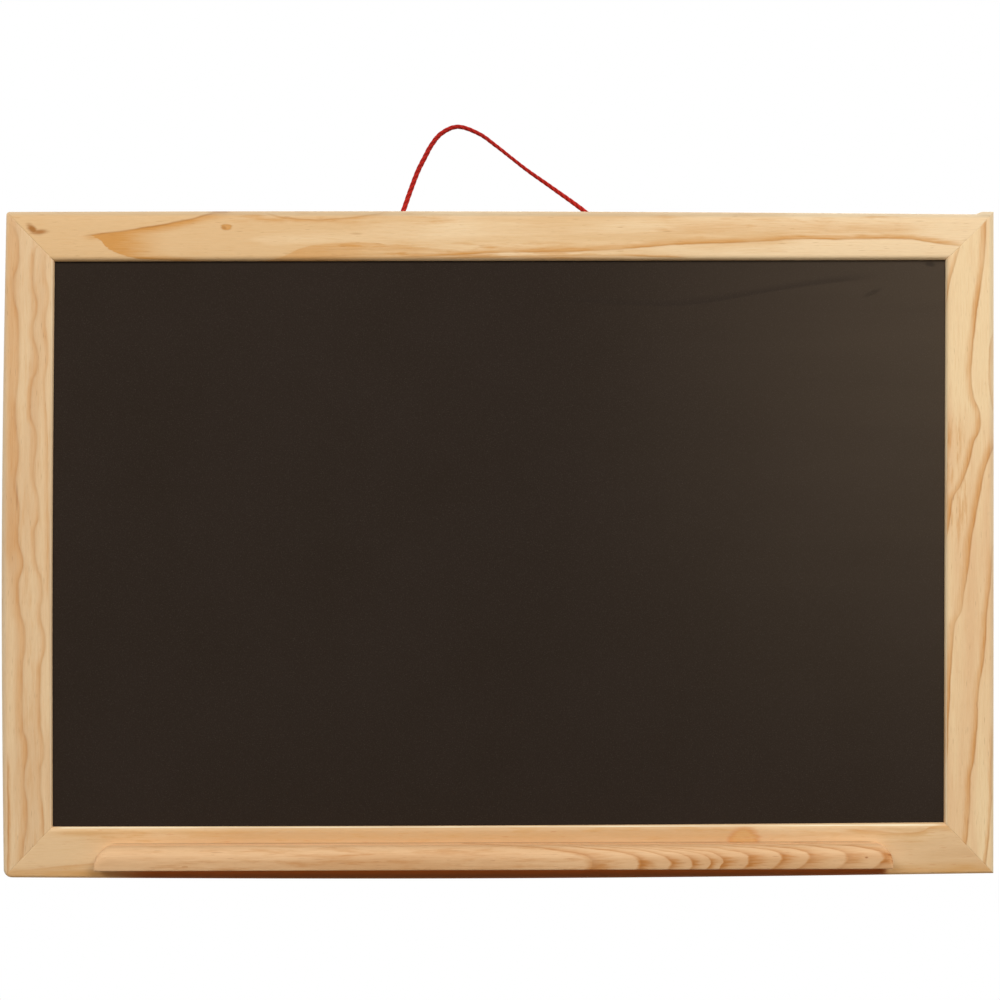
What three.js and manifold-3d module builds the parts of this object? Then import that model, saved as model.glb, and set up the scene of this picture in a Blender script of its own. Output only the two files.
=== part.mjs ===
// A wall chalkboard: a mitred pine frame round a thin hardboard writing panel, a chalk ledge
// along its foot, and a red cord behind its top rail to hang it by.
//
// Millimetres. X runs to the right as the board is read, Y from its front to its back, Z up.
// The origin is on the back of the bottom rail, half way along and half way up it, where the
// hung board touches the wall. Inside the board group heights are counted from its foot.

import * as THREE from "three";
import { mergeVertices } from "three/addons/utils/BufferGeometryUtils.js";
import Module from "manifold-3d";

// Frame
const frameWidth = 600;
const frameHeight = 401;
const frameThickness = 18;
const stileWidth = 30;
const bottomRailWidth = 30.5;
const topRailWidth = 29.5; // at its left end
const topRailTaper = 2.1; // how much narrower the top rail is at its right end
const frontEdgeRadius = 3;
const mitreGap = 0.3;

// The frame's uneven corners: two are worn round, and one mitre's tip was left standing
const footCornerRadius = 5;
const topCornerRadius = 2;
const tipRise = 1.6;
const tipLength = 5.5;
const tipSlope = 5.5;

// Rebate and writing panel
const lipThickness = 3.5;
const rebateWidth = 6;
const panelThickness = 3;
const panelClearance = 0.8;

// Chalk ledge
const ledgeLength = 478;
const ledgeDepth = 18;
const ledgeThickness = 13.5;
const ledgeBottom = 6;
const ledgeShift = -3.5; // it sits a little left of the middle
const ledgeTopRadius = 6;
const ledgeEdgeRadius = 2;
const ledgeLeftCornerRadius = 10;
const ledgeRightCornerRadius = 8.5;

// Screws through the bottom rail into the ledge
const screwCount = 3;
const screwInset = 49; // from the ledge's ends to its outer screws
const screwLength = 30;
const screwRadius = 1.75;
const screwCoreRadius = 1.2;
const screwHeadRadius = 3.5;
const screwHeadHeight = 2.1;
const screwHeadRim = 0.4;
const screwThreadLength = 20;
const screwPitch = 1.8;
const taperRings = 2; // rings of a thread that grow from its point to its full radius
const crossLength = 3.6;
const crossWidth = 0.8;
const crossDepth = 1.3;

// Corner wedges: bent steel strips driven into the back of each mitre
const wedgeArm = 4.5;
const wedgeThickness = 0.6;
const wedgeDepth = 10;
const wedgePlaces = [6, 15]; // distances of their bends from the frame's outer edges

// Points: steel tabs driven into the rebate wall over the panel's back
const pointWidth = 5;
const pointThickness = 0.5;
const pointReach = 8;
const pointGrip = 5;
const pointTip = 2;
const pointsAlongRail = 4;
const pointsAlongStile = 3;

// Screw eyes and cord
const cordDiameter = 2.6;
const cordClearance = 0.4;
const eyeWire = 1.8;
const eyeSpacing = 144;
const eyeDrop = 10; // from the frame's top edge down to the eyes
const eyeNeck = 1.5;
const eyeShankLength = 13;
const eyeShankRadius = 1.1;
const eyeShankCore = 0.75;
const eyeThreadLength = 10;
const eyePitch = 1.4;
const eyeSink = 1.25; // how deep in the wood the shank's thick part begins
const knotLength = 6;
const knotTurns = 2;
const knotTail = 7;
const knotHollow = 0.65; // how far the turns' cord lies outside the middle one

// Fits
const fitGap = 0.3; // round what is driven or screwed into wood
const sinkDepth = 0.3; // how far fasteners sit below the frame's back
const overrun = 5; // how far cutters run past what they cut

// Smoothness
const arcSteps = 6;
const bevelSteps = 3;
const roundSteps = 16;
const ringSteps = 24;
const wireSteps = 10;
const cordSides = 8;
const cordSteps = 56;

const wasm = await Module();
wasm.setup();

// Solids: from geometry to manifold and back

function toSolid(geometry) {
  const bare = geometry.clone();
  bare.deleteAttribute("normal");
  bare.deleteAttribute("uv");
  const merged = mergeVertices(bare);
  const triVerts = new Uint32Array(merged.index.array);
  const vertProperties = merged.attributes.position.array;
  return new wasm.Manifold(new wasm.Mesh({ numProp: 3, vertProperties, triVerts }));
}

function toGeometry(solid) {
  const mesh = solid.getMesh();
  const geometry = new THREE.BufferGeometry();
  geometry.setAttribute("position", new THREE.BufferAttribute(mesh.vertProperties, 3));
  geometry.setIndex(new THREE.BufferAttribute(mesh.triVerts, 1));
  geometry.computeVertexNormals();
  return geometry;
}

function cut(geometry, cutters) {
  let solid = toSolid(geometry);
  for (const cutter of cutters) {
    solid = solid.subtract(toSolid(cutter));
  }
  return toGeometry(solid);
}

function join(geometries) {
  let solid = toSolid(geometries[0]);
  for (const geometry of geometries.slice(1)) {
    solid = solid.add(toSolid(geometry));
  }
  return toGeometry(solid);
}

// Shapes

// A box between two corners
function boxBetween(low, high) {
  const size = high.map((value, axis) => value - low[axis]);
  const geometry = new THREE.BoxGeometry(...size);
  geometry.translate(...low.map((value, axis) => value + size[axis] / 2));
  return geometry;
}

// A plate with an outline seen from the front, from y = back to y = back - thickness
function plate(outline, thickness, back = 0) {
  const shape = outline instanceof THREE.Shape ? outline : new THREE.Shape(outline);
  const options = { depth: thickness, bevelEnabled: false, curveSegments: arcSteps };
  const geometry = new THREE.ExtrudeGeometry(shape, options);
  geometry.rotateX(Math.PI / 2);
  geometry.translate(0, back, 0);
  return geometry;
}

// What is cut off a square edge to round it: the space between a corner and its arc.
// The corner is at the shape's origin, and the material lies towards +x and +y.
function roundingShape(radius) {
  const shape = new THREE.Shape();
  shape.moveTo(-overrun, -overrun);
  shape.lineTo(radius, -overrun);
  shape.absarc(radius, radius, radius, -Math.PI / 2, -Math.PI, true);
  shape.lineTo(-overrun, radius);
  shape.closePath();
  return shape;
}

// The cutter that rounds a front edge from one point to another, both seen from the front.
// The material lies to the left of the way from start to end.
function frontEdgeCutter(start, end, radius, front = -frameThickness) {
  const along = new THREE.Vector3(end.x - start.x, 0, end.y - start.y);
  const length = along.length() + 2 * overrun;
  along.normalize();
  const back = new THREE.Vector3(0, 1, 0);
  const inward = new THREE.Vector3().crossVectors(along, back);
  const options = { depth: length, bevelEnabled: false, curveSegments: arcSteps };
  const geometry = new THREE.ExtrudeGeometry(roundingShape(radius), options);
  geometry.translate(0, 0, -overrun);
  geometry.applyMatrix4(new THREE.Matrix4().makeBasis(inward, back, along.negate()));
  geometry.translate(end.x, front, end.y);
  return geometry;
}

// The cutter that rounds a corner of the frame's outline. The corners are told apart by the
// quarter turns about Y that carry the bottom left one to each.
const quarterTurns = { bottomLeft: 0, bottomRight: -1, topRight: 2, topLeft: 1 };

function outlineCornerCutter(corner, quarters, radius) {
  const geometry = plate(roundingShape(radius), frameThickness + 2 * overrun, overrun);
  geometry.rotateY((quarters * Math.PI) / 2);
  geometry.translate(corner.x, 0, corner.y);
  return geometry;
}

// A turned pin along Y with rings for its thread, from y = top down to its point
function threadedPin(top, length, radius, core, threadLength, pitch) {
  const tip = top - length;
  const threadTop = tip + threadLength;
  const profile = [new THREE.Vector2(0, tip)];
  const rings = Math.floor(threadLength / pitch) - 1;
  for (let ring = 1; ring <= rings; ring += 1) {
    const height = tip + ring * pitch;
    const grown = Math.min(1, ring / taperRings);
    profile.push(new THREE.Vector2(core * grown, height - pitch / 2));
    profile.push(new THREE.Vector2(radius * grown, height));
  }
  profile.push(new THREE.Vector2(core, threadTop));
  profile.push(new THREE.Vector2(core, top));
  profile.push(new THREE.Vector2(0, top));
  return new THREE.LatheGeometry(profile, roundSteps);
}

// A plain round hole along Y from y = top down to y = bottom
function roundHole(top, bottom, radius) {
  const geometry = new THREE.CylinderGeometry(radius, radius, top - bottom, roundSteps);
  geometry.translate(0, (top + bottom) / 2, 0);
  return geometry;
}

// Materials

const pine = { color: 0xdcb486, roughness: 0.62, metalness: 0 };
const steel = { color: 0xb9bcc0, roughness: 0.4, metalness: 1 };
const zinc = { color: 0xc9c3ae, roughness: 0.35, metalness: 1 };
const blackPaint = { color: 0x30271f, roughness: 0.9, metalness: 0 };
const redCord = { color: 0xa32622, roughness: 0.75, metalness: 0 };

function makePart(name, geometry, look) {
  const part = new THREE.Mesh(geometry, new THREE.MeshStandardMaterial(look));
  part.name = name;
  return part;
}

// A cutter moved to where a part lies
function at(part, cutter) {
  part.updateMatrix();
  return cutter.clone().applyMatrix4(part.matrix);
}

// The frame's corners, seen from the front

const halfWidth = frameWidth / 2;
const innerHalfWidth = halfWidth - stileWidth;
const innerTopLeft = frameHeight - topRailWidth;
const innerTopRight = innerTopLeft + topRailTaper;

const outer = {
  bottomLeft: new THREE.Vector2(-halfWidth, 0),
  bottomRight: new THREE.Vector2(halfWidth, 0),
  topRight: new THREE.Vector2(halfWidth, frameHeight + tipRise),
  topLeft: new THREE.Vector2(-halfWidth, frameHeight),
};
const inner = {
  bottomLeft: new THREE.Vector2(-innerHalfWidth, bottomRailWidth),
  bottomRight: new THREE.Vector2(innerHalfWidth, bottomRailWidth),
  topRight: new THREE.Vector2(innerHalfWidth, innerTopRight),
  topLeft: new THREE.Vector2(-innerHalfWidth, innerTopLeft),
};

// The top rail's upper edge drops from the standing tip to the rail's own height
const tipTop = new THREE.Vector2(halfWidth - tipLength, frameHeight + tipRise);
const tipFoot = new THREE.Vector2(halfWidth - tipLength - tipSlope, frameHeight);

// Height of the rebate wall above the panel, at a distance from the middle
function rebateTopAt(x) {
  const share = (x + innerHalfWidth) / (2 * innerHalfWidth);
  return innerTopLeft + share * topRailTaper + rebateWidth;
}

const rebateHalfWidth = innerHalfWidth + rebateWidth;
const rebateBottom = bottomRailWidth - rebateWidth;
const rebateDepth = frameThickness - lipThickness;
const panelBack = -(rebateDepth - panelThickness);

// Fasteners, which the wood is cut for

// A bent strip with its bend at the origin and its arms along +X and +Z, grown by a gap
function wedgeStrip(gap) {
  const low = -wedgeThickness / 2 - gap;
  const high = wedgeThickness / 2 + gap;
  const tip = wedgeArm + gap;
  const outline = [[low, low], [tip, low], [tip, high], [high, high], [high, tip], [low, tip]];
  const points = outline.map(([x, z]) => new THREE.Vector2(x, z));
  const back = gap > 0 ? overrun : -sinkDepth;
  return plate(points, wedgeDepth + gap + sinkDepth + back, back);
}

function cornerWedges() {
  const wedges = [];
  for (const corner of Object.keys(quarterTurns)) {
    const mitre = inner[corner].clone().sub(outer[corner]);
    wedgePlaces.forEach((place, index) => {
      const bend = outer[corner].clone().addScaledVector(mitre, place / stileWidth);
      const name = `corner_wedge_${corner.replace(/([A-Z])/, "_$1").toLowerCase()}_${index + 1}`;
      const wedge = makePart(name, wedgeStrip(0), steel);
      wedge.position.set(bend.x, 0, bend.y);
      wedge.rotation.y = (quarterTurns[corner] * Math.PI) / 2;
      wedges.push(wedge);
    });
  }
  return wedges;
}

// A tab that grips the wood towards +Z of its origin and reaches over the panel towards -Z
function pointOutline() {
  const half = pointWidth / 2;
  const shoulder = pointGrip - pointTip;
  const foot = [[-half, -pointReach], [half, -pointReach]];
  const outline = [...foot, [half, shoulder], [0, pointGrip], [-half, shoulder]];
  return outline.map(([x, z]) => new THREE.Vector2(x, z));
}

function pointSlot() {
  const half = pointWidth / 2 + fitGap;
  const low = [-half, panelBack - fitGap, -overrun];
  const high = [half, panelBack + pointThickness + fitGap, pointGrip + fitGap];
  return boxBetween(low, high);
}

// Even places along a length, centred on its middle
function spread(count, length) {
  return Array.from({ length: count }, (_, index) => ((index + 0.5) / count - 0.5) * length);
}

function panelPoints() {
  const middleHeight = (bottomRailWidth + innerTopLeft) / 2;
  const openingHeight = innerTopLeft - bottomRailWidth;
  const tab = plate(pointOutline(), pointThickness, panelBack + pointThickness);
  const points = [];
  const add = (side, index, x, z, quarter) => {
    const point = makePart(`panel_point_${side}_${index + 1}`, tab, steel);
    point.position.set(x, 0, z);
    point.rotation.y = (quarter * Math.PI) / 2;
    points.push(point);
  };
  spread(pointsAlongRail, 2 * innerHalfWidth).forEach((x, index) => {
    add("top", index, x, rebateTopAt(x), 0);
    add("bottom", index, x, rebateBottom, 2);
  });
  spread(pointsAlongStile, openingHeight).forEach((offset, index) => {
    add("left", index, -rebateHalfWidth, middleHeight + offset, -1);
    add("right", index, rebateHalfWidth, middleHeight + offset, 1);
  });
  return points;
}

// A countersunk screw along Y, its head at the frame's back and its point in the ledge
function screwGeometry() {
  const top = -sinkDepth;
  const neck = top - screwHeadHeight;
  const head = [
    new THREE.Vector2(0, neck - screwCoreRadius),
    new THREE.Vector2(screwRadius, neck),
    new THREE.Vector2(screwHeadRadius, top - screwHeadRim),
    new THREE.Vector2(screwHeadRadius, top),
    new THREE.Vector2(0, top),
  ];
  const headCone = new THREE.LatheGeometry(head, roundSteps);
  const bodyTop = neck + screwHeadRim;
  const bodyLength = bodyTop - (top - screwLength);
  const body = threadedPin(
    bodyTop, bodyLength, screwRadius, screwCoreRadius, screwThreadLength, screwPitch,
  );
  const slots = [[crossLength, crossWidth], [crossWidth, crossLength]].map(([x, z]) =>
    boxBetween([-x / 2, top - crossDepth, -z / 2], [x / 2, top + overrun, z / 2]),
  );
  return cut(join([headCone, body]), slots);
}

// The space that a screw needs: its countersink, open at the back, and its hole
function screwHole() {
  const top = -sinkDepth;
  const headRadius = screwHeadRadius + fitGap;
  const profile = [
    new THREE.Vector2(0, top - screwLength - fitGap),
    new THREE.Vector2(screwRadius + fitGap, top - screwLength - fitGap),
    new THREE.Vector2(screwRadius + fitGap, top - screwHeadHeight - fitGap),
    new THREE.Vector2(headRadius, top - screwHeadRim - fitGap),
    new THREE.Vector2(headRadius, overrun),
    new THREE.Vector2(0, overrun),
  ];
  return new THREE.LatheGeometry(profile, roundSteps);
}

function ledgeScrews() {
  const height = ledgeBottom + ledgeThickness / 2;
  const spacing = (ledgeLength - 2 * screwInset) / (screwCount - 1);
  const geometry = screwGeometry();
  return Array.from({ length: screwCount }, (_, index) => {
    const screw = makePart(`ledge_screw_${index + 1}`, geometry, zinc);
    screw.position.set(ledgeShift + (index - (screwCount - 1) / 2) * spacing, 0, height);
    return screw;
  });
}

// A screw eye: its ring stands behind the rail, in a plane square to the rail
const eyeRingRadius = (cordDiameter + eyeWire) / 2 + cordClearance;
const eyeCentre = eyeNeck + eyeRingRadius + eyeWire / 2;
const eyeHeight = frameHeight - eyeDrop;

function screwEyeGeometry() {
  const ring = new THREE.TorusGeometry(eyeRingRadius, eyeWire / 2, wireSteps, ringSteps);
  ring.rotateY(Math.PI / 2);
  ring.translate(0, eyeCentre, 0);
  const neckTop = eyeCentre - eyeRingRadius;
  const neckHeight = neckTop + 2 * eyeSink;
  const neck = new THREE.CylinderGeometry(eyeWire / 2, eyeWire / 2, neckHeight, wireSteps);
  neck.translate(0, neckTop - neckHeight / 2, 0);
  const shankLength = eyeShankLength - eyeSink;
  const shank = threadedPin(
    -eyeSink, shankLength, eyeShankRadius, eyeShankCore, eyeThreadLength, eyePitch,
  );
  return join([ring, neck, shank]);
}

function screwEyes() {
  const geometry = screwEyeGeometry();
  return ["left", "right"].map((side, index) => {
    const eye = makePart(`screw_eye_${side}`, geometry, zinc);
    eye.position.set((index - 0.5) * eyeSpacing, 0, eyeHeight);
    return eye;
  });
}

function eyeHole() {
  return roundHole(overrun, -eyeShankLength - fitGap, eyeShankRadius + fitGap);
}

// Wood

const wedges = cornerWedges();
const points = panelPoints();
const screws = ledgeScrews();
const eyes = screwEyes();

// A saw cut along a mitre, which keeps its two pieces apart
function mitreCut(corner) {
  const along = inner[corner].clone().sub(outer[corner]);
  const length = along.length() + 2 * overrun;
  const low = [-length / 2, -frameThickness - overrun, -mitreGap / 2];
  const high = [length / 2, overrun, mitreGap / 2];
  const geometry = boxBetween(low, high);
  geometry.rotateY(-along.angle());
  const middle = outer[corner].clone().add(inner[corner]).multiplyScalar(0.5);
  geometry.translate(middle.x, 0, middle.y);
  return geometry;
}

// The rebate behind the lip, a little past the frame's back
function rebateSpace() {
  const outline = [
    new THREE.Vector2(-rebateHalfWidth, rebateBottom),
    new THREE.Vector2(rebateHalfWidth, rebateBottom),
    new THREE.Vector2(rebateHalfWidth, rebateTopAt(rebateHalfWidth)),
    new THREE.Vector2(-rebateHalfWidth, rebateTopAt(-rebateHalfWidth)),
  ];
  return plate(outline, rebateDepth + overrun, overrun);
}

// Slots and holes for everything that is driven into the wood
function fastenerSpaces() {
  return [
    ...wedges.map((wedge) => at(wedge, wedgeStrip(fitGap))),
    ...points.map((point) => at(point, pointSlot())),
    ...screws.map((screw) => at(screw, screwHole())),
    ...eyes.map((eye) => at(eye, eyeHole())),
  ];
}

const woodCutters = [rebateSpace(), ...Object.keys(outer).map(mitreCut), ...fastenerSpaces()];
const wornCorners = [
  outlineCornerCutter(outer.bottomLeft, quarterTurns.bottomLeft, footCornerRadius),
  outlineCornerCutter(outer.topLeft, quarterTurns.topLeft, topCornerRadius),
];

// One side of the frame. Its outline runs anticlockwise, and each edge to round is given
// by its two ends in that order, so that the wood lies to its left.
function frameSide(name, outline, edges) {
  const rounded = edges.map(([start, end]) => frontEdgeCutter(start, end, frontEdgeRadius));
  const geometry = cut(plate(outline, frameThickness), [...rounded, ...woodCutters, ...wornCorners]);
  return makePart(name, geometry, pine);
}

function frameSides() {
  const { bottomLeft, bottomRight, topRight, topLeft } = outer;
  const topOutline = [inner.topLeft, inner.topRight, topRight, tipTop, tipFoot, topLeft];
  const topEnd = new THREE.Vector2(halfWidth, frameHeight);
  return [
    frameSide("top_rail", topOutline, [[inner.topLeft, inner.topRight], [topEnd, topLeft]]),
    frameSide(
      "bottom_rail",
      [bottomLeft, bottomRight, inner.bottomRight, inner.bottomLeft],
      [[bottomLeft, bottomRight], [inner.bottomRight, inner.bottomLeft]],
    ),
    frameSide(
      "left_stile",
      [bottomLeft, inner.bottomLeft, inner.topLeft, topLeft],
      [[inner.bottomLeft, inner.topLeft], [topLeft, bottomLeft]],
    ),
    frameSide(
      "right_stile",
      [bottomRight, topRight, inner.topRight, inner.bottomRight],
      [[bottomRight, topRight], [inner.topRight, inner.bottomRight]],
    ),
  ];
}

function writingPanel() {
  const half = rebateHalfWidth - panelClearance;
  const low = [-half, panelBack - panelThickness, rebateBottom + panelClearance];
  const high = [half, panelBack, rebateTopAt(-rebateHalfWidth) - panelClearance];
  return makePart("writing_panel", boxBetween(low, high), blackPaint);
}

// The ledge's front outline: square at its foot, its upper corners rounded
function ledgeOutline() {
  const half = ledgeLength / 2;
  const shape = new THREE.Shape();
  shape.moveTo(-half, -overrun);
  shape.lineTo(half, -overrun);
  shape.lineTo(half, ledgeThickness - ledgeRightCornerRadius);
  shape.absarc(
    half - ledgeRightCornerRadius, ledgeThickness - ledgeRightCornerRadius,
    ledgeRightCornerRadius, 0, Math.PI / 2, false,
  );
  shape.lineTo(-half + ledgeLeftCornerRadius, ledgeThickness);
  shape.absarc(
    -half + ledgeLeftCornerRadius, ledgeThickness - ledgeLeftCornerRadius,
    ledgeLeftCornerRadius, Math.PI / 2, Math.PI, false,
  );
  shape.closePath();
  return shape;
}

function chalkLedge() {
  const options = {
    depth: ledgeDepth + overrun - 2 * ledgeEdgeRadius,
    bevelThickness: ledgeEdgeRadius,
    bevelSize: ledgeEdgeRadius,
    bevelOffset: -ledgeEdgeRadius,
    bevelSegments: bevelSteps,
    curveSegments: arcSteps,
  };
  const block = new THREE.ExtrudeGeometry(ledgeOutline(), options);
  block.rotateX(Math.PI / 2);
  block.translate(0, overrun - ledgeEdgeRadius, 0);
  const far = ledgeLength;
  const topStart = new THREE.Vector2(far, ledgeThickness);
  const topEnd = new THREE.Vector2(-far, ledgeThickness);
  const trims = [
    boxBetween([-far, -2 * ledgeDepth, -2 * overrun], [far, 2 * overrun, 0]),
    boxBetween([-far, 0, -2 * overrun], [far, 2 * overrun, 2 * ledgeThickness]),
    frontEdgeCutter(topStart, topEnd, ledgeTopRadius, -ledgeDepth),
  ];
  const ledge = makePart("chalk_ledge", block, pine);
  ledge.position.set(ledgeShift, -frameThickness, ledgeBottom);
  ledge.updateMatrix();
  const intoLedge = ledge.matrix.clone().invert();
  const holes = screws.map((screw) => at(screw, screwHole()).applyMatrix4(intoLedge));
  ledge.geometry = cut(block, [...trims, ...holes]);
  return ledge;
}

// Cord

// The cord's way from knot to knot, seen from the front: across and up from the eyes' axis
const cordRoute = [
  [-73.2, 0], [-71.4, 0], [-69.9, 0], [-67.4, 0.4], [-65.2, 1.5], [-63.4, 3.3], [-62.4, 5.3],
  [-60.7, 9.9], [-59.1, 14.5], [-54.2, 28.4], [-49.9, 39.5], [-46.1, 47.0], [-42.2, 54.3],
  [-36.0, 61.8], [-26.1, 66.1], [-12.6, 61.8], [-2.1, 54.4], [7.2, 47.1], [16.7, 39.7],
  [32.5, 28.6], [51.6, 14.8], [58.8, 8.4], [66.0, 1.9], [67.5, 0.9], [69.2, 0.2], [71.0, 0],
  [73.2, 0],
];

function hangingCord() {
  const way = cordRoute.map(([x, z]) => new THREE.Vector3(x, 0, z));
  const curve = new THREE.CatmullRomCurve3(way, false, "centripetal");
  const section = new THREE.Shape();
  for (let side = 0; side < cordSides; side += 1) {
    const angle = (side / cordSides) * 2 * Math.PI;
    const x = (Math.cos(angle) * cordDiameter) / 2;
    const y = (Math.sin(angle) * cordDiameter) / 2;
    if (side === 0) section.moveTo(x, y);
    else section.lineTo(x, y);
  }
  section.closePath();
  const geometry = new THREE.ExtrudeGeometry(section, { steps: cordSteps, extrudePath: curve });
  return makePart("hanging_cord", geometry, redCord);
}

// A stopper knot outside each eye: turns of cord side by side, then the cord's loose end.
// It is turned along Y here, away from the eye, and laid along X when it is placed.
function knotGeometry() {
  const turnRadius = knotLength / knotTurns / 2;
  const core = turnRadius + knotHollow;
  const profile = [new THREE.Vector2(0, 0), new THREE.Vector2(core, 0)];
  for (let turn = 0; turn < knotTurns; turn += 1) {
    const middle = (2 * turn + 1) * turnRadius;
    for (let step = 1; step < arcSteps; step += 1) {
      const angle = (step / arcSteps) * Math.PI;
      const out = core + Math.sin(angle) * turnRadius;
      profile.push(new THREE.Vector2(out, middle - Math.cos(angle) * turnRadius));
    }
    profile.push(new THREE.Vector2(core, middle + turnRadius));
  }
  profile.push(new THREE.Vector2(cordDiameter / 2, knotLength));
  profile.push(new THREE.Vector2(cordDiameter / 2, knotLength + knotTail));
  profile.push(new THREE.Vector2(0, knotLength + knotTail));
  return new THREE.LatheGeometry(profile, roundSteps);
}

function cordKnots() {
  const start = eyeSpacing / 2 + eyeWire / 2 + 2 * fitGap;
  return ["left", "right"].map((side, index) => {
    const outward = 2 * index - 1;
    const knot = makePart(`cord_knot_${side}`, knotGeometry(), redCord);
    knot.position.set(outward * start, 0, 0);
    knot.rotation.z = (-outward * Math.PI) / 2;
    return knot;
  });
}

// Everything that swings on the eyes, built round their common axis
function hangingLoop() {
  const loop = new THREE.Group();
  loop.position.set(0, eyeCentre, eyeHeight);
  loop.add(hangingCord(), ...cordKnots());
  return loop;
}

const board = new THREE.Group();
board.position.set(0, 0, -bottomRailWidth / 2);
board.add(...frameSides(), writingPanel(), chalkLedge(), ...wedges, ...points, ...screws, ...eyes);
board.add(hangingLoop());

const chalkboard = new THREE.Group();
chalkboard.name = "chalkboard";
chalkboard.add(board);

export default chalkboard;
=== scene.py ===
# A wall chalkboard dressed for a picture: a pine frame, a matt black writing panel, a chalk
# ledge, steel fasteners behind and a red cord to hang it by.
import math

import bmesh
import bpy
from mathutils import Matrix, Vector


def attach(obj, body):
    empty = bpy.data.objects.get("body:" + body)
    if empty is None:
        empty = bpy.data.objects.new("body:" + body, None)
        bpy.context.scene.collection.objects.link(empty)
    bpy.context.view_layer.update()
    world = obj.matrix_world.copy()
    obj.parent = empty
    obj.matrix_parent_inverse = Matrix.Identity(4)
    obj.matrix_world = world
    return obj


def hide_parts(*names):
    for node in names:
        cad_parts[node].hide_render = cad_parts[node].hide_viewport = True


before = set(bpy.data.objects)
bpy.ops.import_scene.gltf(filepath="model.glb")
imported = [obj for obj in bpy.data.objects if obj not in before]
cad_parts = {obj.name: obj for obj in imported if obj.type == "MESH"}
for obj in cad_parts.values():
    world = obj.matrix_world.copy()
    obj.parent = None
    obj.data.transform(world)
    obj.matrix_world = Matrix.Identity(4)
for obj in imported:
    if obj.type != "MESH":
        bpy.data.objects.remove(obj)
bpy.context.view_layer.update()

# Sizes in millimetres, in the row frame: the origin is on the back of the bottom rail
MM = 0.001
WIDTH = 600
HEIGHT = 401
FOOT = -15.25
HALF = WIDTH / 2
TOP = FOOT + HEIGHT
MIDDLE = FOOT + HEIGHT / 2
THICKNESS = 18
STILE = 30
BOTTOM_RAIL = 30.5
TOP_RAIL = 29.5
TOP_TAPER = 2.1
OUTER_EDGE = 2
INNER_EDGE = 3
BACK_EDGE = 0.8
LIP = 3.5
REBATE = 6
MITRE_GAP = 0.03
MITRE_GROOVE = 0.1
MITRE_GROOVE_REACH = 0.5
FOOT_CORNER = 5
TOP_CORNER = 2

# The mitre tip left on at the top right: its rise, its length, its slope and how far down it pulls
TIP_RISE = 1.6
TIP_LENGTH = 5.5
TIP_SLOPE = 5.5
TIP_DEPTH = 8

LEDGE_LENGTH = 478
LEDGE_DEPTH = 18
LEDGE_THICKNESS = 13.5
LEDGE_FOOT = FOOT + 5.7
LEDGE_SHIFT = -3.5
LEDGE_TOP_EDGE = 8
LEDGE_FOOT_EDGE = 0.8
LEDGE_END_EDGE = 2
LEDGE_LEFT_CORNER = 10
LEDGE_RIGHT_CORNER = 8.5

CORD_DIAMETER = 2.6
EYE_DEPTH = 5.0
EYE_HEIGHT = 375.75
KNOT_PLACE = 73.5
KNOT_LENGTH = 6
KNOT_TAIL = 7

# Camera: in front of the board and a touch to the left of its middle
CAMERA_PLACE = (-24.9, -1363.5, 201.4)
CAMERA_LIFT = math.radians(0.434)
CAMERA_TURN = math.radians(-1.056)
CAMERA_LENS = 80.0
SENSOR_WIDTH = 36.0


def make_camera():
    camera = bpy.data.objects.new("camera", bpy.data.cameras.new("camera"))
    bpy.context.collection.objects.link(camera)
    camera.data.sensor_width = SENSOR_WIDTH
    camera.data.lens = CAMERA_LENS
    camera.location = Vector(CAMERA_PLACE) * MM
    camera.rotation_euler = (math.pi / 2 + CAMERA_LIFT, 0, CAMERA_TURN)
    bpy.context.scene.camera = camera


# Materials

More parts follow.
